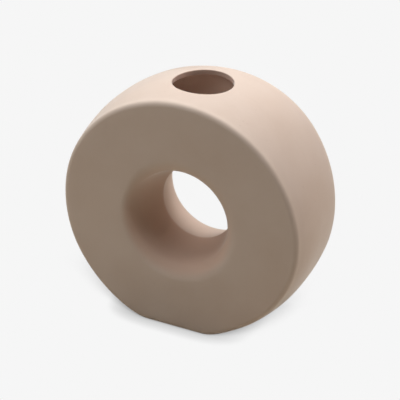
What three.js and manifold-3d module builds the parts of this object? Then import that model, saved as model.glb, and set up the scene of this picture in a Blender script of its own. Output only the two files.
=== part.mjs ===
// Ring vase in matt stoneware: two press-moulded half shells, luted together with slip at the crown
// of the outer wall and at the waist of the bore, with a round mouth cut through the top.
// Millimetres, +Z up. The origin is the middle of the foot. The bore runs along Y, the front is at -Y.
import * as THREE from "three";
import { mergeVertices } from "three/addons/utils/BufferGeometryUtils.js";
import Module from "manifold-3d";

// The ring
const ringDiameter = 200; // across the crown of the outer wall
const ringDepth = 80; // from face to face
const wall = 4; // thickness of the fired clay, the same all over
const edgeRadius = 4.5; // between each face and the outer wall
const frontCrownDrop = 5.5; // how far the outer wall falls from its crown to the plane of the front face
const rearCrownDrop = 3; // the same at the rear face

// The bore through the ring
const waistDiameter = 59; // where the two flares meet
const waistRadius = 10; // softness of the ridge between the flares
const flareDiameter = 100; // where a flare leaves its face
const flareRadius = 12.5; // rounding from the face into the bore

// The foot
const footWidth = 46; // flat along the front edge, between the corner roundings
const footCornerRadius = 31; // rounding from the foot up into the outer wall

// The mouth
const mouthDiameter = 45;
const lipRadius = 1.2; // rounding of the cut edge

// The luting seams
const seamGap = 0.8; // slip between the edges of the two halves
const beadWidth = 6; // smoothed bead of slip on the inside of a seam
const beadHeight = 1.4;
const beadBevel = 1; // slope at the sides of a bead
const beadClearance = 0.3; // between a bead and the clay beside it

// Facets
const arcSteps = 46; // round the outer wall, from one foot corner over the top to the other
const cornerSteps = 4; // round one foot corner
const footSteps = 4; // along the flat of the foot
const wallSteps = 4; // from the seam to the edge rounding
const edgeSteps = 5; // round the edge of a face
const flareSteps = 6; // round the flare
const waistSteps = 2; // round one side of the waist
const innerShare = 0.6; // share of the steps that the unseen inner side of a rounding keeps
const mouthSteps = 48; // round the mouth
const lipSteps = 3; // over the lip

// Sizes that follow from the driving ones
const ringRadius = ringDiameter / 2;
const halfDepth = ringDepth / 2;
const mouthRadius = mouthDiameter / 2;
const leastRadius = 0.5; // an inner rounding never gets sharper than this
const quarterTurn = Math.PI / 2;

// Radius of a rounding once it is set in by part of the clay's thickness.
function innerRadius(radius, inset) {
  return Math.max(radius - inset, leastRadius);
}

function inner(steps) {
  return Math.max(Math.round(steps * innerShare), 2);
}

// Depth from the middle plane at which the rounding of a face's edge begins.
function edgeDepth(inset) {
  return halfDepth - inset - innerRadius(edgeRadius, inset);
}

// Height that the rounding of a face's edge takes off, at a depth from the middle plane.
function edgeRise(depth, inset) {
  const radius = innerRadius(edgeRadius, inset);
  const past = Math.max(depth - edgeDepth(inset), 0);
  return radius - Math.sqrt(Math.max(radius ** 2 - past ** 2, 0));
}

// Radius of the domed outer wall about the bore's axis: a crown arc that runs into the edge rounding.
function wallRadius(depth, drop, inset) {
  const crown = (halfDepth ** 2 + drop ** 2) / (2 * drop);
  const centre = ringRadius - crown;
  const edge = innerRadius(edgeRadius, inset);
  const start = edgeDepth(inset);
  const tangent = (start * (crown - inset)) / (crown - inset - edge);
  if (depth < tangent) {
    return centre + Math.sqrt((crown - inset) ** 2 - depth ** 2);
  }
  const edgeCentre = centre + Math.sqrt((crown - inset - edge) ** 2 - start ** 2);
  return edgeCentre + edge - edgeRise(depth, inset);
}

// The bore's axis lies at the height that gives the flat of the foot its width at the narrower face.
function findAxisHeight() {
  const drop = Math.max(frontCrownDrop, rearCrownDrop);
  const reach = wallRadius(edgeDepth(0), drop, 0) - footCornerRadius;
  return footCornerRadius + Math.sqrt(reach ** 2 - (footWidth / 2) ** 2);
}

const axisHeight = findAxisHeight();

// The throat is the straight stretch that touches both the waist rounding and the flare rounding.
function throat(inset) {
  const waist = { depth: 0, radius: waistDiameter / 2 + waistRadius, round: innerRadius(waistRadius, inset) };
  const flare = {
    depth: halfDepth - flareRadius,
    radius: flareDiameter / 2,
    round: innerRadius(flareRadius, inset),
  };
  const apart = Math.hypot(flare.depth - waist.depth, flare.radius - waist.radius);
  const rise = Math.atan2(flare.radius - waist.radius, flare.depth - waist.depth);
  const slope = rise - Math.asin((flare.round - waist.round) / apart);
  return { waist, flare, slope };
}

function onRounding(centre, angle) {
  return {
    depth: centre.depth + centre.round * Math.sin(angle),
    radius: centre.radius - centre.round * Math.cos(angle),
  };
}

// Radius of the bore, or of its inner side, at a depth near the waist.
function waistRadiusAt(depth, inset) {
  const { waist, slope } = throat(inset);
  const end = onRounding(waist, slope);
  if (depth > end.depth) {
    return end.radius + (depth - end.depth) * Math.tan(slope);
  }
  return waist.radius - Math.sqrt(waist.round ** 2 - depth ** 2);
}

// Depths and radii along one flare, from the seam at the waist out to the face.
function borePath(inset, flareCount, waistCount) {
  const { waist, flare, slope } = throat(inset);
  const start = Math.asin(seamGap / 2 / waist.round);
  const path = [];
  for (let i = 0; i <= waistCount; i++) {
    path.push(onRounding(waist, start + ((slope - start) * i) / waistCount));
  }
  path[0].depth = seamGap / 2;
  for (let i = 0; i <= flareCount; i++) {
    path.push(onRounding(flare, slope + ((quarterTurn - slope) * i) / flareCount));
  }
  path[path.length - 1].depth = halfDepth - inset;
  return path;
}

// Depths along the outer wall, from the seam to the face.
function wallDepths(inset, edgeCount) {
  const start = edgeDepth(inset);
  const radius = innerRadius(edgeRadius, inset);
  const depths = [];
  for (let i = 0; i <= wallSteps; i++) {
    depths.push(seamGap / 2 + ((start - seamGap / 2) * i) / wallSteps);
  }
  for (let i = 1; i < edgeCount; i++) {
    depths.push(start + radius * Math.sin((quarterTurn * i) / edgeCount));
  }
  depths.push(halfDepth - inset);
  return depths;
}

// Outline of the ring at one depth: an arc over the top, two rounded corners and the flat of the foot.
function outline(y, radius, floor, corner) {
  const drop = axisHeight - floor - corner;
  const footEnd = Math.sqrt((radius - corner) ** 2 - drop ** 2);
  const turn = Math.atan2(footEnd, drop); // angle of a foot corner, and of its arc's end, from straight down
  const points = [];
  const add = (x, z) => points.push(new THREE.Vector3(x, y, z));
  for (let i = 0; i <= arcSteps; i++) {
    const angle = turn + ((2 * Math.PI - 2 * turn) * i) / arcSteps;
    add(radius * Math.sin(angle), axisHeight - radius * Math.cos(angle));
  }
  for (let i = 1; i <= cornerSteps; i++) {
    const angle = turn * (1 - i / cornerSteps);
    add(-footEnd - corner * Math.sin(angle), floor + corner - corner * Math.cos(angle));
  }
  for (let i = 1; i <= footSteps; i++) {
    add(-footEnd + (2 * footEnd * i) / footSteps, floor);
  }
  for (let i = 1; i < cornerSteps; i++) {
    const angle = (turn * i) / cornerSteps;
    add(footEnd + corner * Math.sin(angle), floor + corner - corner * Math.cos(angle));
  }
  return points;
}

function wallLoop(side, depth, inset) {
  const drop = side < 0 ? frontCrownDrop : rearCrownDrop;
  const radius = wallRadius(depth, drop, inset);
  const floor = inset + edgeRise(depth, inset);
  return outline(side * depth, radius, floor, innerRadius(footCornerRadius, inset));
}

// A circle about the bore's axis, with a point on the ray through each point of a guide loop.
function boreLoop(side, depth, radius, guide) {
  return guide.map((point) => {
    const angle = Math.atan2(point.x, axisHeight - point.z);
    return new THREE.Vector3(
      radius * Math.sin(angle),
      side * depth,
      axisHeight - radius * Math.cos(angle),
    );
  });
}

function geometryFrom(positions, triangles) {
  const geometry = new THREE.BufferGeometry();
  geometry.setAttribute("position", new THREE.Float32BufferAttribute(positions, 3));
  geometry.setIndex(triangles);
  return geometry;
}

// Closed skin over a ring of loops, the last loop joined to the first.
function loftRing(loops, flip) {
  const around = loops[0].length;
  const positions = loops.flat().flatMap((point) => [point.x, point.y, point.z]);
  const triangles = [];
  loops.forEach((_, row) => {
    const next = (row + 1) % loops.length;
    for (let i = 0; i < around; i++) {
      const j = (i + 1) % around;
      const corners = [row * around + i, row * around + j, next * around + j, next * around + i];
      if (flip) {
        corners.reverse();
      }
      const [a, b, c, d] = corners;
      triangles.push(a, b, c, a, c, d);
    }
  });
  return geometryFrom(positions, triangles);
}

const wasm = await Module();
wasm.setup();

function solidFrom(geometry) {
  const merged = mergeVertices(geometry);
  return new wasm.Manifold(
    new wasm.Mesh({
      numProp: 3,
      vertProperties: merged.getAttribute("position").array,
      triVerts: new Uint32Array(merged.index.array),
    }),
  );
}

function cutMouth(geometry, cutter) {
  const mesh = solidFrom(geometry).subtract(cutter).getMesh();
  return geometryFrom(Array.from(mesh.vertProperties), Array.from(mesh.triVerts));
}

// Height of the outer wall's top at a place beside the mouth.
function topHeight(x, y) {
  const drop = y < 0 ? frontCrownDrop : rearCrownDrop;
  return axisHeight + Math.sqrt(wallRadius(Math.abs(y), drop, 0) ** 2 - x ** 2);
}

// Plug that cuts the mouth: straight through the clay, then rounded outwards along the curved top.
function mouthCutter() {
  const crown = axisHeight + ringRadius;
  const bottom = crown - mouthRadius;
  const above = crown + wall;
  const rings = [() => ({ radius: mouthRadius, z: bottom })];
  for (let i = 0; i <= lipSteps; i++) {
    const angle = (quarterTurn * i) / lipSteps;
    rings.push((top) => ({
      radius: mouthRadius + lipRadius * (1 - Math.cos(angle)),
      z: top - lipRadius * (1 - Math.sin(angle)),
    }));
  }
  rings.push(() => ({ radius: mouthRadius + lipRadius, z: above }));
  const positions = [];
  rings.forEach((ring) => {
    for (let i = 0; i < mouthSteps; i++) {
      const angle = (2 * Math.PI * i) / mouthSteps;
      const reach = mouthRadius + lipRadius;
      const { radius, z } = ring(topHeight(reach * Math.cos(angle), reach * Math.sin(angle)));
      positions.push(radius * Math.cos(angle), radius * Math.sin(angle), z);
    }
  });
  const triangles = [];
  for (let row = 0; row < rings.length - 1; row++) {
    for (let i = 0; i < mouthSteps; i++) {
      const j = (i + 1) % mouthSteps;
      const low = row * mouthSteps;
      const high = low + mouthSteps;
      triangles.push(low + i, low + j, high + j, low + i, high + j, high + i);
    }
  }
  const last = (rings.length - 1) * mouthSteps;
  for (let i = 1; i < mouthSteps - 1; i++) {
    triangles.push(0, i + 1, i, last, last + i, last + i + 1);
  }
  return solidFrom(geometryFrom(positions, triangles));
}

// One moulded half: half of the outer wall, a flat face, a flare of the bore and half of the foot.
function halfShell(side, cutter) {
  const outside = wallDepths(0, edgeSteps).map((depth) => wallLoop(side, depth, 0));
  const inside = wallDepths(wall, inner(edgeSteps)).map((depth) => wallLoop(side, depth, wall));
  const guide = outside[outside.length - 1];
  const toBore = (path) => path.map(({ depth, radius }) => boreLoop(side, depth, radius, guide));
  const bore = toBore(borePath(0, flareSteps, waistSteps));
  const behindBore = toBore(borePath(wall, inner(flareSteps), waistSteps));
  const loops = [...outside, ...bore.reverse(), ...behindBore, ...inside.reverse()];
  return cutMouth(loftRing(loops, side > 0), cutter);
}

// Section of a luting seam: a thin web between the halves and a flat bead behind it, from the seen side in.
function seamSection() {
  const under = wall + beadClearance;
  const top = under + beadHeight;
  const half = [
    { depth: seamGap / 2, inset: 0 },
    { depth: seamGap / 2, inset: under },
    { depth: beadWidth / 2, inset: under },
    { depth: beadWidth / 2 - beadBevel, inset: top },
  ];
  const place = (side) => half.map(({ depth, inset }) => ({ side, depth, inset }));
  return [...place(-1), ...place(1).reverse()];
}

// Seam round the outer wall and under the foot, left open where the mouth is cut.
function outerSeam(cutter) {
  const loops = seamSection().map(({ side, depth, inset }) => wallLoop(side, depth, inset));
  return cutMouth(loftRing(loops, false), cutter);
}

// Seam round the waist of the bore.
function boreSeam() {
  const guide = wallLoop(-1, halfDepth, 0);
  const loops = seamSection().map(({ side, depth, inset }) =>
    boreLoop(side, depth, waistRadiusAt(depth, inset), guide),
  );
  return loftRing(loops, true);
}

function part(name, geometry, material) {
  geometry.computeVertexNormals();
  const mesh = new THREE.Mesh(geometry, material);
  mesh.name = name;
  return mesh;
}

const stoneware = new THREE.MeshStandardMaterial({ color: 0xc9ae9c, roughness: 0.85, metalness: 0 });
const slip = new THREE.MeshStandardMaterial({ color: 0xbfa290, roughness: 0.9, metalness: 0 });

const plug = mouthCutter();
const vase = new THREE.Group();
vase.name = "ring_vase";
vase.add(
  part("front_half_shell", halfShell(-1, plug), stoneware),
  part("rear_half_shell", halfShell(1, plug), stoneware),
  part("outer_seam", outerSeam(plug), slip),
  part("bore_seam", boreSeam(), slip),
);

export default vase;
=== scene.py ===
import math

import bmesh
import bpy
from mathutils import Matrix, Vector, noise


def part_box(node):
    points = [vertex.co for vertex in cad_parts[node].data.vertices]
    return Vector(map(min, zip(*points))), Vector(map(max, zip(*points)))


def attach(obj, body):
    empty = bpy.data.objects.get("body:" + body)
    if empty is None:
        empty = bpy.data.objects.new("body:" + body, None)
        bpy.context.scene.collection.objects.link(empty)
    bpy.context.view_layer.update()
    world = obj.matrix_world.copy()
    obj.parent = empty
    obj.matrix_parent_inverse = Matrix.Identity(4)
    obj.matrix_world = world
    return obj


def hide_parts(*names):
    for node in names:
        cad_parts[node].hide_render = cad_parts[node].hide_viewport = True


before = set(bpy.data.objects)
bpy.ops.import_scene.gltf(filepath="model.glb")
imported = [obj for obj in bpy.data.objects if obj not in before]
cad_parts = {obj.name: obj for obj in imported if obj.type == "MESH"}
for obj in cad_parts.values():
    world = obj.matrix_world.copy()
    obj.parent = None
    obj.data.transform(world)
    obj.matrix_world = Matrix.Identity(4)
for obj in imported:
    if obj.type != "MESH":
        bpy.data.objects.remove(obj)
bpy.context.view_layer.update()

print("frame loaded with", ", ".join(sorted(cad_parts)))

# main sizes in metres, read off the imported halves; front is towards -Y
frontLow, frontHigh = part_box("front_half_shell")
halfDepth = round(-frontLow[1], 5)
seamHalf = round(-frontHigh[1], 5)
ringRadius = round(frontHigh[0], 4)

ringForm = {
    "wall": 0.004,                   # thickness of the clay
    "edgeRound": 0.0042,             # between a face and the outer wall
    "leastRound": 0.0005,            # the sharpest rounding on the inner side
    "drop": {-1: 0.0055, 1: 0.003},  # fall of the outer wall from its crown, front and rear
    "waist": 0.0303,                 # radius where the two flares meet
    "waistRound": 0.006,
    "flare": 0.050,                  # radius where the flare leaves the face
    "flareRound": 0.0125,
    "footFlat": 0.046,               # width of the flat near the faces
    "footDepth": 0.0355,             # where that width is taken
    "footCorner": 0.031,
}
ringSteps = {
    "arc": 200, "corner": 10, "foot": 16,                         # round the outline
    "wall": 14, "edge": 8, "face": 10,                            # from the seam out to the face
    "flare": 20, "throat": 6, "waist": 6,                         # from the face in to the waist
    "innerEdge": 3, "innerFace": 4,
    "innerFlare": 8, "innerThroat": 3, "innerWaist": 3,
    "patchRows": 13, "patchSide": 14, "patchRings": 8, "lip": 6,  # round the mouth
}
wall = ringForm["wall"]
quarterTurn = math.pi / 2


def smooth(value, low, high):
    t = min(max((value - low) / (high - low), 0.0), 1.0)
    return t * t * (3 - 2 * t)


def blend(a, b, share):
    return a + (b - a) * share


# hand-made unevenness of the skin: size and height of the swells, heights above the foot where it sets in
wobbleForm = {
    "bigSize": 0.048, "bigHeight": 0.00020, "smallSize": 0.015, "smallHeight": 0.00004,
    "aboveFoot": (0.001, 0.016),
}


def wobble(point):
    big = noise.noise(point / wobbleForm["bigSize"]) * wobbleForm["bigHeight"]
    small = noise.noise(point / wobbleForm["smallSize"]) * wobbleForm["smallHeight"]
    return (big + small) * smooth(point.z, *wobbleForm["aboveFoot"])


# the rounding between face and outer wall; inset is how far a surface lies inside the skin
def edgeRadius(inset):
    return max(ringForm["edgeRound"] - inset, ringForm["leastRound"])


def edgeStart(inset=0.0):
    return halfDepth - inset - edgeRadius(inset)


def edgeRise(depth, inset):
    radius = edgeRadius(inset)
    past = max(depth - edgeStart(inset), 0.0)
    return radius - math.sqrt(max(radius ** 2 - past ** 2, 0.0))


def crownArc(side):
    drop = ringForm["drop"][side]
    return (halfDepth ** 2 + drop ** 2) / (2 * drop)


# radius of the domed outer wall about the hole's axis, and its lean: the share of the normal along the hole
def wallAt(side, depth, inset):
    crown = crownArc(side)
    centre = ringRadius - crown
    edge = edgeRadius(inset)
    start = edgeStart(inset)
    tangent = start * (crown - inset) / (crown - inset - edge)
    if depth < tangent:
        return centre + math.sqrt((crown - inset) ** 2 - depth ** 2), depth / (crown - inset)
    edgeCentre = centre + math.sqrt((crown - inset - edge) ** 2 - start ** 2)
    lean = min((depth - start) / edge, 1.0)
    return edgeCentre + edge - edgeRise(depth, inset), lean


def axisHeightOf():
    corner = ringForm["footCorner"]
    reach = wallAt(-1, ringForm["footDepth"], 0.0)[0] - corner
    return corner + math.sqrt(reach ** 2 - (ringForm["footFlat"] / 2) ** 2)


axisHeight = axisHeightOf()


# outline at one depth: arc over the top, left corner, flat of the foot, right corner
def outline(radius, floor, corner):
    fall = axisHeight - floor - corner
    footEnd = math.sqrt((radius - corner) ** 2 - fall ** 2)
    turn = math.atan2(footEnd, fall)
    row = []
    for i in range(ringSteps["arc"] + 1):
        angle = turn + (2 * math.pi - 2 * turn) * i / ringSteps["arc"]
        row.append((radius * math.sin(angle), axisHeight - radius * math.cos(angle)))
    for i in range(1, ringSteps["corner"] + 1):
        angle = turn * (1 - i / ringSteps["corner"])
        row.append((-footEnd - corner * math.sin(angle), floor + corner * (1 - math.cos(angle))))
    for i in range(1, ringSteps["foot"] + 1):
        row.append((-footEnd + 2 * footEnd * i / ringSteps["foot"], floor))
    for i in range(1, ringSteps["corner"]):
        angle = turn * i / ringSteps["corner"]
        row.append((footEnd + corner * math.sin(angle), floor + corner * (1 - math.cos(angle))))
    return row


# a point of the skin, pushed out by the wobble
# away and lean are the shares of its normal across and along the hole
def skinPoint(side, x, depth, z, away, lean, inset):
    point = Vector((x, side * depth, z))
    if inset > 0:
        return point
    across = Vector((x, 0, z - axisHeight)).normalized() * away
    return point + (across + Vector((0, side * lean, 0))) * wobble(point)


def wallRow(side, depth, inset):
    radius, lean = wallAt(side, depth, inset)
    floor = inset + edgeRise(depth, inset)
    away = math.sqrt(max(1 - lean ** 2, 0.0))
    flat = outline(radius, floor, ringForm["footCorner"] - inset)
    return [skinPoint(side, x, depth, z, away, lean, inset) for x, z in flat]


# turns round the hole's axis count from the top in degrees, to the right
def turnOf(x, z):
    return math.degrees(math.atan2(x, z - axisHeight))


def bell(turn, form):
    return math.exp(-((turn - form["turn"]) / form["spread"]) ** 2)


# the front flare is tighter on the left: its edge and rounding there
tightFlare = {"turn": -80, "spread": 40, "edge": 0.0470, "round": 0.007}


def flareAt(side, x, z):
    share = bell(turnOf(x, z), tightFlare) if side < 0 else 0.0
    edge = blend(ringForm["flare"], tightFlare["edge"], share)
    return edge, blend(ringForm["flareRound"], tightFlare["round"], share)


# the hole's profile: two circles and the slope of the line that touches both
# a circle is its depth, its distance from the axis and its radius
def throat(inset, flareEdge=ringForm["flare"], flareRound=ringForm["flareRound"]):
    waist = (0.0, ringForm["waist"] + ringForm["waistRound"], ringForm["waistRound"] - inset)
    flare = (halfDepth - flareRound, flareEdge, flareRound - inset)
    apart = math.hypot(flare[0] - waist[0], flare[1] - waist[1])
    rise = math.atan2(flare[1] - waist[1], flare[0] - waist[0])
    return waist, flare, rise - math.asin((flare[2] - waist[2]) / apart)


def onRound(circle, angle):
    depth, middle, radius = circle
    return depth + radius * math.sin(angle), middle - radius * math.cos(angle), angle


# depth, radius and normal angle along the hole's side, from the seam at the waist out to the face
def borePath(inset, flareForm, waistSteps, throatSteps, flareSteps):
    waist, flare, slope = throat(inset, *flareForm)
    begin = math.asin(seamHalf / waist[2])
    path = [onRound(waist, blend(begin, slope, i / waistSteps)) for i in range(waistSteps + 1)]
    waistEnd, flareStart = path[-1], onRound(flare, slope)
    for i in range(1, throatSteps):
        share = i / throatSteps
        depth = blend(waistEnd[0], flareStart[0], share)
        radius = blend(waistEnd[1], flareStart[1], share)
        path.append((depth, radius, slope))
    path += [onRound(flare, blend(slope, quarterTurn, i / flareSteps)) for i in range(flareSteps + 1)]
    return path


def borePoint(side, x, z, depth, radius, angle, inset):
    turn = math.atan2(x, axisHeight - z)
    x, z = radius * math.sin(turn), axisHeight - radius * math.cos(turn)
    return skinPoint(side, x, depth, z, -math.cos(angle), math.sin(angle), inset)


# the ring settled a little out of round as it dried: turn and spread in degrees, rise in metres
settleForm = (
    {"turn": -60, "spread": 26, "rise": 0.0024, "where": "rear"},
    {"turn": 38, "spread": 26, "rise": 0.0020, "where": "rear"},
    {"turn": 76, "spread": 26, "rise": -0.0008, "where": "rear"},
    {"turn": 116, "spread": 16, "rise": 0.0008, "where": "rear"},
    {"turn": -14, "spread": 22, "rise": -0.0010, "where": "rearEdge"},
    {"turn": -70, "spread": 25, "rise": 0.0012, "where": "throughout"},
    {"turn": -134, "spread": 18, "rise": -0.0010, "where": "throughout"},
    {"turn": 152, "spread": 12, "rise": -0.0008, "where": "throughout"},
    {"turn": 98, "spread": 28, "rise": 0.0022, "where": "front"},
    {"turn": -42, "spread": 18, "rise": 0.0005, "where": "front"},
    {"turn": 8, "spread": 24, "rise": -0.0005, "where": "front"},
)
settleReach = {  # where each sets in along Y, and all of them away from the hole and above the foot
    "rear": (-0.030, 0.020), "rearEdge": (0.020, 0.038), "front": (0.010, -0.035),
    "throughout": (-0.060, -0.050), "across": (0.055, 0.085), "aboveFoot": (0.0, 0.012),
}
ridgeSettle = {"forward": 0.0006, "across": (0.032, 0.042)}  # the ridge in the hole lies a little forward
mouthSettle = {  # the mouth is a little out of round: shares along x and y, x gained per y, metres moved
    "stretch": (0.016, -0.015), "skew": 0.020, "shift": (-0.0004, 0.0005),
    "across": (0.024, 0.036), "aboveAxis": 0.060,
}


def settled(point):
    x, y, z = point
    across = math.hypot(x, z - axisHeight)
    turn = turnOf(x, z)
    rise = sum(f["rise"] * bell(turn, f) * smooth(y, *settleReach[f["where"]]) for f in settleForm)
    rise *= smooth(across, *settleReach["across"]) * smooth(z, *settleReach["aboveFoot"])
    grow = 1 + rise / across
    x, z = x * grow, axisHeight + (z - axisHeight) * grow
    y -= ridgeSettle["forward"] * (1 - smooth(across, *ridgeSettle["across"]))
    if z > axisHeight + mouthSettle["aboveAxis"]:
        near = 1 - smooth(math.hypot(x, y), *mouthSettle["across"])
        x += near * (mouthSettle["stretch"][0] * x + mouthSettle["skew"] * y + mouthSettle["shift"][0])
        y += near * (mouthSettle["stretch"][1] * y + mouthSettle["shift"][1])
    return x, y, z


# a growing mesh: points, faces and a few marks on each point that steer the clay's colour
# some marks carry painted light and shade: the lightened inner clay, the darker mouth side and the darker
# hole
markNames = ("rim", "raw", "cut", "blush")


def newNet():
    return {"points": [], "faces": [], **{mark: [] for mark in markNames}}


# a mark is one value for the whole row or a list with one for each point
def addRow(net, points, **marks):
    start = len(net["points"])
    net["points"] += [tuple(p) for p in points]
    for mark in markNames:
        value = marks.get(mark, 0.0)
        net[mark] += value if isinstance(value, list) else [value] * len(points)
    return list(range(start, start + len(points)))


def stitch(net, rowA, rowB, closed=True, skip=None):
    count = len(rowA)
    for i in range(count if closed else count - 1):
        if skip and skip[0] <= i < skip[1]:
            continue
        j = (i + 1) % count
        net["faces"].append((rowA[i], rowA[j], rowB[j], rowB[i]))


# the round mouth cut in the crown
mouthForm = {
    "radius": 0.0225,
    "lip": 0.0006,          # rounding of the cut edge, outside and inside
    "slopeStep": 0.0002,    # distance over which the crown's slope is taken
    "cutFade": (0.2, 1.0),  # share of the lip over which the cut clay and its painted shade begin to show
}


def topHeight(side, x, depth, inset):
    radius, lean = wallAt(side, depth, inset)
    return axisHeight + math.sqrt(radius ** 2 - x ** 2), lean


# how steeply the crown falls away from the mouth at one angle
def mouthSlope(side, turn, reach, inset):
    step = mouthForm["slopeStep"]
    heights = []
    for radius in (reach - step, reach + step):
        height, lean = topHeight(side, radius * math.cos(turn), abs(radius * math.sin(turn)), inset)
        heights.append(height)
    return math.atan2(heights[0] - heights[1], 2 * step)


# a plan position near the mouth at a radius; the two end columns stay on the seam's plane
def mouthPlan(reach, turn, isEnd):
    if isEnd:
        across = math.sqrt(reach ** 2 - seamHalf ** 2)
        return math.copysign(across, math.cos(turn)), seamHalf
    return reach * math.cos(turn), abs(reach * math.sin(turn))


# radius and rise over the rounded lip, from the crown at 0 to the mouth's straight side at 1
def lipAt(share, tilt, inset):
    mouth, lip = mouthForm["radius"], mouthForm["lip"]
    if inset:
        angle = quarterTurn * share
        return mouth + lip * (1 - math.sin(angle)), lip * (1 - math.cos(angle))
    angle = blend(quarterTurn - tilt, math.pi, share)
    return mouth + lip + lip * math.cos(angle), lip * math.sin(angle) - lip * math.cos(tilt)


# rings from the edge of the patch in to the mouth, then over its lip
def mouthRings(side, border, inset):
    mouth, lip = mouthForm["radius"], mouthForm["lip"]
    turns = [math.atan2(p[1], p[0]) for p in border]
    tilts = [mouthSlope(side, turn, mouth + lip, inset) for turn in turns]
    ends = (0, len(border) - 1)
    rings = []
    for k in range(1, ringSteps["patchRings"] + 1):
        share = k / ringSteps["patchRings"]
        ring = []
        for i, edge in enumerate(border):
            reach = mouth + lip * (1 if inset else 1 + math.sin(tilts[i]))
            goalX, goalDepth = mouthPlan(reach, turns[i], i in ends)
            x = blend(edge[0], goalX, share)
            depth = blend(abs(edge[1]), goalDepth, share)
            z, lean = topHeight(side, x, depth, inset)
            away = math.sqrt(1 - lean ** 2)
            ring.append(skinPoint(side, x, depth, z, away, lean, inset))
        rings.append(ring)
    crown = rings[-1]
    for k in range(1, ringSteps["lip"] + 1):
        ring = []
        for i, turn in enumerate(turns):
            reach, rise = lipAt(k / ringSteps["lip"], tilts[i], inset)
            x, depth = mouthPlan(reach, turn, i in ends)
            ring.append(Vector((x, side * depth, crown[i].z + rise)))
        rings.append(ring)
    return rings


topStation = ringSteps["arc"] // 2
patchEnds = (topStation - ringSteps["patchSide"], topStation + ringSteps["patchSide"])


# U-shaped edge of the patch round the mouth, as indices, from the seam on the right to that on the left
def patchBorder(rows):
    first, last = patchEnds
    depthRows = rows[: ringSteps["patchRows"] + 1]
    right = [row[first] for row in depthRows]
    left = [row[last] for row in reversed(depthRows)]
    return right + depthRows[-1][first + 1:last] + left


def wallDepths(edgeSteps, inset):
    start, radius = edgeStart(inset), edgeRadius(inset)
    depths = [blend(seamHalf, start, i / ringSteps["wall"]) for i in range(ringSteps["wall"] + 1)]
    for i in range(1, edgeSteps + 1):
        depths.append(start + radius * math.sin(quarterTurn * i / edgeSteps))
    return depths


rimLead = 0.004  # the lighter rim band begins this far before the edge's rounding


# the outer wall's rows with the patch round the mouth left open, then the rings of the patch
def wallSkin(net, side, inset, edgeSteps):
    # the inner skin takes the raw clay colour, which carries painted light
    raw = 1.0 if inset else 0.0
    rows = []
    for depth in wallDepths(edgeSteps, inset):
        rimShare = 0.0 if inset else math.sin(math.pi * smooth(depth, edgeStart() - rimLead, halfDepth))
        rows.append(addRow(net, wallRow(side, depth, inset), rim=rimShare, raw=raw))
    for j in range(len(rows) - 1):
        skip = patchEnds if j < ringSteps["patchRows"] else None
        stitch(net, rows[j], rows[j + 1], True, skip)
    border = patchBorder(rows)
    rings = [border]
    for k, ring in enumerate(mouthRings(side, [net["points"][i] for i in border], inset)):
        onLip = max(k + 1 - ringSteps["patchRings"], 0) / ringSteps["lip"]
        rings.append(addRow(net, ring, raw=raw, cut=smooth(onLip, *mouthForm["cutFade"])))
        stitch(net, rings[-2], rings[-1], False)
    return rows, rings


# painted shade: the clay is coloured darker and redder in the hole, for its shade and the light bounced
# inside it, most of all low down in the front flare
paintedFlareShade = {
    -1: 1.0, 1: 0.20,             # share in front and behind
    "above": 0.35,                # what is left of it high up
    "angles": (0.75, 1.45),       # normal angles over which it fades towards the face
    "heights": (-0.025, 0.030),   # heights about the axis over which it fades upwards
}


# share of painted shade at a point in the hole, less of it high up
def blushAt(point, most):
    height = smooth(point.z - axisHeight, *paintedFlareShade["heights"])
    return most * blend(1.0, paintedFlareShade["above"], height)


# the side of the hole; guide is the outline whose turns its points follow
def boreSkin(net, side, inset, names, guide):
    steps = [ringSteps[name] for name in names]
    paths = [borePath(inset, flareAt(side, x, z), *steps) for x, z in guide]
    rows = []
    for places in zip(*paths):
        points = []
        blush = []
        for (x, z), (depth, radius, angle) in zip(guide, places):
            point = borePoint(side, x, z, depth, radius, angle, inset)
            # painted shade on the hole's outer skin, fading towards the face
            most = 0.0 if inset else paintedFlareShade[side] * (1 - smooth(angle, *paintedFlareShade["angles"]))
            points.append(point)
            blush.append(blushAt(point, most))
        rows.append(addRow(net, points, raw=1.0 if inset else 0.0, blush=blush))
    for a, b in zip(rows, rows[1:]):
        stitch(net, a, b)
    return rows


# flat ring between the outer wall's last row and the flare's last row
def faceSkin(net, side, wallEnd, boreEnd, steps, inset):
    depth = halfDepth - inset
    rows = [wallEnd]
    for k in range(1, steps):
        row = []
        for i, j in zip(wallEnd, boreEnd):
            a, b = Vector(net["points"][i]), Vector(net["points"][j])
            flat = a.lerp(b, k / steps)
            row.append(skinPoint(side, flat.x, depth, flat.z, 0.0, 1.0, inset))
        rows.append(addRow(net, row, raw=1.0 if inset else 0.0))
    rows.append(boreEnd)
    for a, b in zip(rows, rows[1:]):
        stitch(net, a, b)


# one moulded half: wall, mouth, face and flare, and the same again set in by the clay's thickness
def halfShell(side):
    net = newNet()
    rows, rings = wallSkin(net, side, 0.0, ringSteps["edge"])
    innerRows, innerRings = wallSkin(net, side, wall, ringSteps["innerEdge"])
    guide = [(net["points"][i][0], net["points"][i][2]) for i in rows[-1]]
    bore = boreSkin(net, side, 0.0, ("waist", "throat", "flare"), guide)
    innerBore = boreSkin(net, side, wall, ("innerWaist", "innerThroat", "innerFlare"), guide)
    faceSkin(net, side, rows[-1], bore[-1], ringSteps["face"], 0.0)
    faceSkin(net, side, innerRows[-1], innerBore[-1], ringSteps["innerFace"], wall)
    stitch(net, rings[-1], innerRings[-1], False)
    stitch(net, bore[0], innerBore[0])
    stitch(net, rows[0], innerRows[0], True, patchEnds)
    for end in (0, -1):
        stitch(net, [ring[end] for ring in rings], [ring[end] for ring in innerRings], False)
    return net


# the seam's rail on one side: from the mouth's left side round under the foot to its right side
def seamRail(net, rows, rings):
    first, last = patchEnds
    count = len(rows[0])
    around = [rows[0][i % count] for i in range(last, count + first + 1)]
    left = [ring[-1] for ring in rings[1:]]
    right = [ring[0] for ring in rings[1:]]
    return [Vector(net["points"][i]) for i in left[::-1] + around + right]


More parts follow.
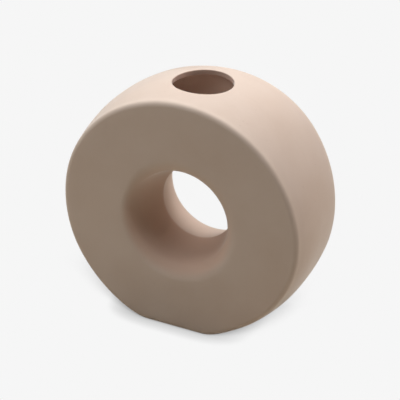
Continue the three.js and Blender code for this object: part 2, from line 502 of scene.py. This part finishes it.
# bead of slip smoothed over each seam inside the body
beadForm = {
    "width": 0.006, "height": 0.0014,
    "lift": 0.00003,   # gap to the clay beside it
    "uneven": 0.25,    # share by which width and height vary
    "size": 0.013,     # length of that variation
    "overlap": 1.2,    # least half width, in half widths of the seam
    "shape": ((1.0, 0.0), (0.55, 0.75), (0.0, 1.0), (-0.55, 0.75), (-1.0, 0.0)),
}


# the bead's section at one place, from rear to front
def beadAcross(middle, inward, share):
    uneven = 1 + beadForm["uneven"] * noise.noise(middle / beadForm["size"])
    half = max(beadForm["width"] / 2 * uneven * share, seamHalf * beadForm["overlap"])
    tall = beadForm["height"] * uneven * share
    section = []
    for y, height in beadForm["shape"]:
        section.append(middle + inward * (beadForm["lift"] + tall * height) + Vector((0, half * y, 0)))
    return section


# slip round the crown and under the foot, ending at both sides of the mouth
def outerSeam():
    rails = []
    for side in (-1, 1):
        net = newNet()
        outer = wallSkin(net, side, 0.0, ringSteps["edge"])
        inner = wallSkin(net, side, wall, ringSteps["innerEdge"])
        rails.append((seamRail(net, *outer), seamRail(net, *inner)))
    (frontOut, frontIn), (rearOut, rearIn) = rails
    net = newNet()
    loops = []
    count = len(frontOut)
    fadeEnd = ringSteps["patchRings"] + ringSteps["lip"] + ringSteps["patchSide"]
    for i in range(count):
        inward = (frontIn[i] - frontOut[i]).normalized()
        inward.y = 0
        share = smooth(min(i, count - 1 - i), ringSteps["lip"], fadeEnd)
        bead = beadAcross((frontIn[i] + rearIn[i]) / 2, inward, share)
        outside = [frontOut[i], rearOut[i]]
        inside = [rearIn[i]] + bead + [frontIn[i]]
        raw = [0.0] * len(outside) + [1.0] * len(inside)
        loops.append(addRow(net, outside + inside, raw=raw))
    for a, b in zip(loops, loops[1:]):
        stitch(net, a, b)
    net["faces"] += [tuple(loops[0]), tuple(reversed(loops[-1]))]
    return net


def seamPoint(outward, radius, y):
    return Vector((0, y, axisHeight)) + outward * radius


# slip round the waist of the hole
def boreSeam():
    net = newNet()
    waistOut, _, _ = throat(0.0)
    waistIn, _, slope = throat(wall)
    near = waistOut[1] - math.sqrt(waistOut[2] ** 2 - seamHalf ** 2)
    far = waistIn[1] - math.sqrt(waistIn[2] ** 2 - seamHalf ** 2)
    climb = math.tan(slope) * beadForm["width"] / 2
    # painted shade on the waist's slip, halfway between the front and rear shares
    most = (paintedFlareShade[-1] + paintedFlareShade[1]) / 2
    loops = []
    for i in range(ringSteps["arc"]):
        angle = 2 * math.pi * i / ringSteps["arc"]
        outward = Vector((math.sin(angle), 0, -math.cos(angle)))
        outside = [(near, -seamHalf), (ringForm["waist"], 0), (near, seamHalf)]
        outside = [seamPoint(outward, radius, y) for radius, y in outside]
        outside = [p - outward * wobble(p) for p in outside]
        bead = beadAcross(seamPoint(outward, far, 0), outward, 1.0)
        bead[0] = bead[0] + outward * climb
        bead[-1] = bead[-1] + outward * climb
        inside = [seamPoint(outward, far, seamHalf)] + bead + [seamPoint(outward, far, -seamHalf)]
        raw = [0.0] * len(outside) + [1.0] * len(inside)
        blush = [blushAt(p, most) for p in outside + inside]
        loops.append(addRow(net, outside + inside, raw=raw, blush=blush))
    for a, b in zip(loops, loops[1:] + loops[:1]):
        stitch(net, a, b)
    return net


# clay: colours, then how it takes the light
clayFinish = {
    "light": (0.615, 0.490, 0.414),
    "deep": (0.585, 0.455, 0.376),
    "rim": (0.66, 0.535, 0.45),      # lighter band along the edge of a face
    "raw": (0.92, 0.735, 0.635),     # raw clay inside the body, lightened and reddened as painted bounce light
    "cut": (0.60, 0.42, 0.34),       # clay of the mouth's cut side, darkened as painted shade
    "blush": (0.59, 0.415, 0.328),   # painted shade: darker, redder colour in the hole
    "speck": (0.36, 0.26, 0.20),
    "roughness": (0.70, 0.86),
    "specular": 0.2,
    "ior": 1.45,
    "bloom": 0.60,                   # pale bloom of dry clay at a grazing angle
    "bloomRoughness": 0.3,
    "patchDepth": 0.00012,
    "grainDepth": 0.00004,
    "slipShade": 0.985,              # the seams' slip is a touch darker
}
clayTexture = {  # noise settings, then the range that counts and what it becomes
    # slow change of tone, smoothing marks, dry grain, rare iron specks
    "cloud": {"scale": 22, "detail": 3, "rough": 0.55, "range": (0.35, 0.68, 0.0, 1.0)},
    "patch": {"scale": 150, "detail": 4, "rough": 0.55, "range": (0.3, 0.7, 0.25, 0.75)},
    "grain": {"scale": 1500, "detail": 5, "rough": 0.65, "range": (0.3, 0.7)},
    "speckle": {"scale": 620, "detail": 2, "rough": 0.55, "range": (0.72, 0.78, 0.0, 0.5)},
}


# place is where the node sits in the editor; values go to its settings or else to its sockets
def addNode(tree, kind, place, **values):
    node = tree.nodes.new(kind)
    node.location = place
    for key, value in values.items():
        if hasattr(node, key):
            setattr(node, key, value)
        else:
            node.inputs[key.replace("_", " ")].default_value = value
    return node


# the Mix node's colours are its sockets 6 and 7, and 2 on the way out
def mixColour(tree, place, factor, colourA, colourB):
    node = addNode(tree, "ShaderNodeMix", place, data_type="RGBA")
    tree.links.new(factor, node.inputs["Factor"])
    for socket, value in ((node.inputs[6], colourA), (node.inputs[7], colourB)):
        if isinstance(value, tuple):
            socket.default_value = (*value, 1)
        else:
            tree.links.new(value, socket)
    return node.outputs[2]


def ramp(tree, place, value, low, high, outLow=0.0, outHigh=1.0):
    node = addNode(tree, "ShaderNodeMapRange", place, From_Min=low, From_Max=high)
    node.inputs["To Min"].default_value = outLow
    node.inputs["To Max"].default_value = outHigh
    node.clamp = True
    tree.links.new(value, node.inputs["Value"])
    return node.outputs["Result"]


def newTree(owner):
    owner.use_nodes = True
    owner.node_tree.nodes.clear()
    return owner.node_tree


def clayMaterial(name, shade=1.0):
    material = bpy.data.materials.new(name)
    tree = newTree(material)
    link = tree.links.new
    where = addNode(tree, "ShaderNodeTexCoord", (-1400, 0)).outputs["Object"]

    def tone(key):
        return tuple(c * shade for c in clayFinish[key])

    def texture(key, row):
        form = clayTexture[key]
        node = addNode(tree, "ShaderNodeTexNoise", (-1150, row), Scale=form["scale"], Detail=form["detail"])
        node.inputs["Roughness"].default_value = form["rough"]
        link(where, node.inputs["Vector"])
        return node.outputs["Fac"]

    def mark(key, row):
        return addNode(tree, "ShaderNodeAttribute", (-1150, row), attribute_name=key).outputs["Fac"]

    cloud = texture("cloud", 300)
    patch = texture("patch", 60)
    grain = texture("grain", -180)
    speckle = texture("speckle", -420)

    cloudShare = ramp(tree, (-900, 300), cloud, *clayTexture["cloud"]["range"])
    body = mixColour(tree, (-650, 300), cloudShare, tone("light"), tone("deep"))
    # painted shade in the hole
    body = mixColour(tree, (-550, 500), mark("blush", 1160), body, tone("blush"))
    rimShare = addNode(tree, "ShaderNodeMath", (-900, 560), operation="MULTIPLY")
    link(mark("rim", 560), rimShare.inputs[0])
    link(ramp(tree, (-1020, 440), patch, *clayTexture["patch"]["range"]), rimShare.inputs[1])
    body = mixColour(tree, (-450, 300), rimShare.outputs["Value"], body, tone("rim"))
    # inner clay, its colour lightened as painted light
    body = mixColour(tree, (-250, 300), mark("raw", 760), body, tone("raw"))
    # painted shade on the mouth's cut side
    body = mixColour(tree, (-150, 500), mark("cut", 960), body, tone("cut"))
    speckShare = ramp(tree, (-900, -420), speckle, *clayTexture["speckle"]["range"])
    body = mixColour(tree, (-50, 300), speckShare, body, tone("speck"))

    marks = addNode(tree, "ShaderNodeBump", (-250, -200), Distance=clayFinish["patchDepth"])
    fine = addNode(tree, "ShaderNodeBump", (-50, -200), Distance=clayFinish["grainDepth"])
    for bump, height in ((marks, patch), (fine, grain)):
        bump.inputs["Strength"].default_value = 1.0
        link(height, bump.inputs["Height"])
    link(marks.outputs["Normal"], fine.inputs["Normal"])

    shader = addNode(tree, "ShaderNodeBsdfPrincipled", (250, 200))
    shader.inputs["IOR"].default_value = clayFinish["ior"]
    shader.inputs["Specular IOR Level"].default_value = clayFinish["specular"]
    shader.inputs["Sheen Weight"].default_value = clayFinish["bloom"]
    shader.inputs["Sheen Roughness"].default_value = clayFinish["bloomRoughness"]
    roughness = ramp(tree, (-50, 60), grain, *clayTexture["grain"]["range"], *clayFinish["roughness"])
    link(body, shader.inputs["Base Color"])
    link(roughness, shader.inputs["Roughness"])
    link(fine.outputs["Normal"], shader.inputs["Normal"])
    output = addNode(tree, "ShaderNodeOutputMaterial", (550, 200))
    link(shader.outputs["BSDF"], output.inputs["Surface"])
    return material


sharpAngle = math.radians(50)  # edges beyond this stay crisp


# closed mesh with every face pointing out of the clay; grid points inside the mouth's patch go
def makePiece(name, net, material):
    mesh = bpy.data.meshes.new(name)
    mesh.from_pydata([settled(p) for p in net["points"]], [], net["faces"])
    for mark in markNames:
        layer = mesh.attributes.new(mark, "FLOAT", "POINT")
        layer.data.foreach_set("value", net[mark])
    skin = bmesh.new()
    skin.from_mesh(mesh)
    unused = [v for v in skin.verts if not v.link_faces]
    bmesh.ops.delete(skin, geom=unused, context="VERTS")
    bmesh.ops.recalc_face_normals(skin, faces=skin.faces)
    skin.to_mesh(mesh)
    skin.free()
    mesh.shade_smooth()
    mesh.set_sharp_from_angle(angle=sharpAngle)
    mesh.materials.append(material)
    piece = bpy.data.objects.new(name, mesh)
    bpy.context.scene.collection.objects.link(piece)
    return piece


stoneware = clayMaterial("stoneware")
slipClay = clayMaterial("slip", clayFinish["slipShade"])
pieces = {
    "front_half_shell": ("frontHalf", halfShell(-1), stoneware, "stoneware"),
    "rear_half_shell": ("rearHalf", halfShell(1), stoneware, "stoneware"),
    "outer_seam": ("outerSeam", outerSeam(), slipClay, "slip"),
    "bore_seam": ("boreSeam", boreSeam(), slipClay, "slip"),
}
for node, (name, net, material, slot) in pieces.items():
    piece = makePiece(name, net, material)
    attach(piece, "root")
    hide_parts(node)
    print(name, "made with", len(net["faces"]), "faces")

# paper under and behind the vase: tone as seen, colour that it throws back, size and gap to the foot
paper = {"tone": 0.9216, "bounce": (0.58, 0.53, 0.445), "size": 8.0, "gap": 0.0002}
# soft shadows on it: direction of the light, reach, openness at full shade and at none, darkest share
paperShades = {
    "contact": {"toLight": (0.33, 0.67, 0.67), "reach": 0.018, "open": (0.0, 0.70), "dark": 0.45},
    "behind": {"toLight": (0.37, -0.81, 0.45), "reach": 0.110, "open": (0.50, 0.70), "dark": 0.40},
}
shadeSamples = 24


def paperShade(tree, row, name, tone):
    form = paperShades[name]
    toLight = addNode(tree, "ShaderNodeNormal", (-900, row))
    toLight.outputs["Normal"].default_value = form["toLight"]
    shade = addNode(tree, "ShaderNodeAmbientOcclusion", (-700, row), samples=shadeSamples)
    shade.inputs["Distance"].default_value = form["reach"]
    tree.links.new(toLight.outputs["Normal"], shade.inputs["Normal"])
    return ramp(tree, (-450, row), shade.outputs["AO"], *form["open"], tone * form["dark"], tone)


# 1 for rays that show the backdrop: straight to the camera, in a reflection or through glass
def seenRays(tree, place):
    path = addNode(tree, "ShaderNodeLightPath", place)
    total = path.outputs["Is Camera Ray"]
    for k, kind in enumerate(("Is Glossy Ray", "Is Transmission Ray")):
        both = addNode(tree, "ShaderNodeMath", (place[0] + 200 * (k + 1), place[1]), operation="ADD")
        both.use_clamp = True
        tree.links.new(total, both.inputs[0])
        tree.links.new(path.outputs[kind], both.inputs[1])
        total = both.outputs["Value"]
    return total


# one shader for the rays that light the vase, another for those that show the backdrop
def mixBySight(tree, lighting, seen, outputKind):
    mix = addNode(tree, "ShaderNodeMixShader", (50, 100))
    tree.links.new(seenRays(tree, (-700, 500)), mix.inputs["Fac"])
    tree.links.new(lighting, mix.inputs[1])
    tree.links.new(seen, mix.inputs[2])
    output = addNode(tree, outputKind, (300, 100))
    tree.links.new(mix.outputs["Shader"], output.inputs["Surface"])


def paperFloor():
    half = paper["size"] / 2
    corners = [(-half, -half), (half, -half), (half, half), (-half, half)]
    mesh = bpy.data.meshes.new("floor")
    mesh.from_pydata([(x, y, -paper["gap"]) for x, y in corners], [], [(0, 1, 2, 3)])
    floor = bpy.data.objects.new("floor", mesh)
    bpy.context.scene.collection.objects.link(floor)
    material = bpy.data.materials.new("paper")
    tree = newTree(material)
    glow = addNode(tree, "ShaderNodeEmission", (-200, 0))
    tree.links.new(paperShade(tree, 0, "contact", paper["tone"]), glow.inputs["Color"])
    tree.links.new(paperShade(tree, -300, "behind", 1.0), glow.inputs["Strength"])
    matt = addNode(tree, "ShaderNodeBsdfDiffuse", (-200, 200), Color=(*paper["bounce"], 1))
    mixBySight(tree, matt.outputs["BSDF"], glow.outputs["Emission"], "ShaderNodeOutputMaterial")
    mesh.materials.append(material)
    return floor


paperFloor()
print("paper floor laid")

studio = {"ambient": (0.0, 0.0, 0.0)}  # the soft boxes alone light the vase


def studioWorld():
    world = bpy.data.worlds.new("studio")
    bpy.context.scene.world = world
    tree = newTree(world)
    around = addNode(tree, "ShaderNodeBackground", (-200, 100), Color=(*studio["ambient"], 1))
    behind = addNode(tree, "ShaderNodeBackground", (-200, -100), Color=(paper["tone"],) * 3 + (1,))
    mixBySight(tree, around.outputs["Background"], behind.outputs["Background"], "ShaderNodeOutputWorld")


studioWorld()

# soft boxes round the vase: place and size in metres, power in watts, tint
softBoxes = {
    "overhead": {"place": (-0.17, -0.17, 1.47), "size": 0.7, "watts": 8.9, "tint": (0.92, 0.975, 1.0)},
    "left": {"place": (-0.90, 0.0, 1.17), "size": 0.8, "watts": 5.6, "tint": (0.91, 0.97, 1.0)},
    "rear": {"place": (0.0, 0.70, 1.31), "size": 0.7, "watts": 3.9, "tint": (0.95, 0.98, 1.0)},
    "rightRear": {"place": (0.77, 0.54, 1.13), "size": 0.8, "watts": 8.5, "tint": (1.0, 0.92, 0.885)},
    "leftRear": {"place": (-0.52, 0.74, 1.17), "size": 0.8, "watts": 9.3, "tint": (0.93, 0.985, 1.0)},
    "frontLeft": {"place": (-0.55, -0.85, 0.85), "size": 0.7, "watts": 2.0, "tint": (1.0, 0.965, 0.93)},
    "rightLow": {"place": (1.2, 0.5, 0.55), "size": 0.7, "watts": 1.8, "tint": (1.0, 1.0, 1.0)},
}


def hangSoftBox(name, form):
    lamp = bpy.data.lights.new(name, "AREA")
    lamp.shape = "SQUARE"
    lamp.size = form["size"]
    lamp.energy = form["watts"]
    lamp.color = form["tint"]
    box = bpy.data.objects.new(name, lamp)
    place = Vector(form["place"])
    aim = Vector((0, 0, axisHeight)) - place
    box.matrix_world = Matrix.Translation(place) @ aim.to_track_quat("-Z", "Y").to_matrix().to_4x4()
    box.visible_camera = False
    bpy.context.scene.collection.objects.link(box)


for name, form in softBoxes.items():
    hangSoftBox(name, form)
print("studio lit by", ", ".join(softBoxes))

# camera as in the photograph: angles in degrees, distances in metres, lens and sensor in mm
photoView = {
    "azimuth": 24.383, "elevation": 26.688, "roll": 2.079, "distance": 1.1062, "aimHeight": 0.097,
    "lens": 130.68, "sensor": 36, "shift": (0.00194, -0.01365), "clip": (0.01, 50),
}


def makeCamera():
    azimuth, elevation, roll = (math.radians(photoView[k]) for k in ("azimuth", "elevation", "roll"))
    back = Vector((
        math.sin(azimuth) * math.cos(elevation),
        -math.cos(azimuth) * math.cos(elevation),
        math.sin(elevation),
    ))
    level = Vector((math.cos(azimuth), math.sin(azimuth), 0))
    upright = back.cross(level)
    right = level * math.cos(roll) + upright * math.sin(roll)
    up = upright * math.cos(roll) - level * math.sin(roll)
    data = bpy.data.cameras.new("photoView")
    data.lens = photoView["lens"]
    data.sensor_width = photoView["sensor"]
    data.shift_x, data.shift_y = photoView["shift"]
    data.clip_start, data.clip_end = photoView["clip"]
    camera = bpy.data.objects.new("photoView", data)
    place = Vector((0, 0, photoView["aimHeight"])) + back * photoView["distance"]
    turn = Matrix((right, up, back)).transposed().to_4x4()
    camera.matrix_world = Matrix.Translation(place) @ turn
    bpy.context.scene.collection.objects.link(camera)
    bpy.context.scene.camera = camera


makeCamera()
bpy.context.scene.view_settings.view_transform = "Standard"
print("camera set")
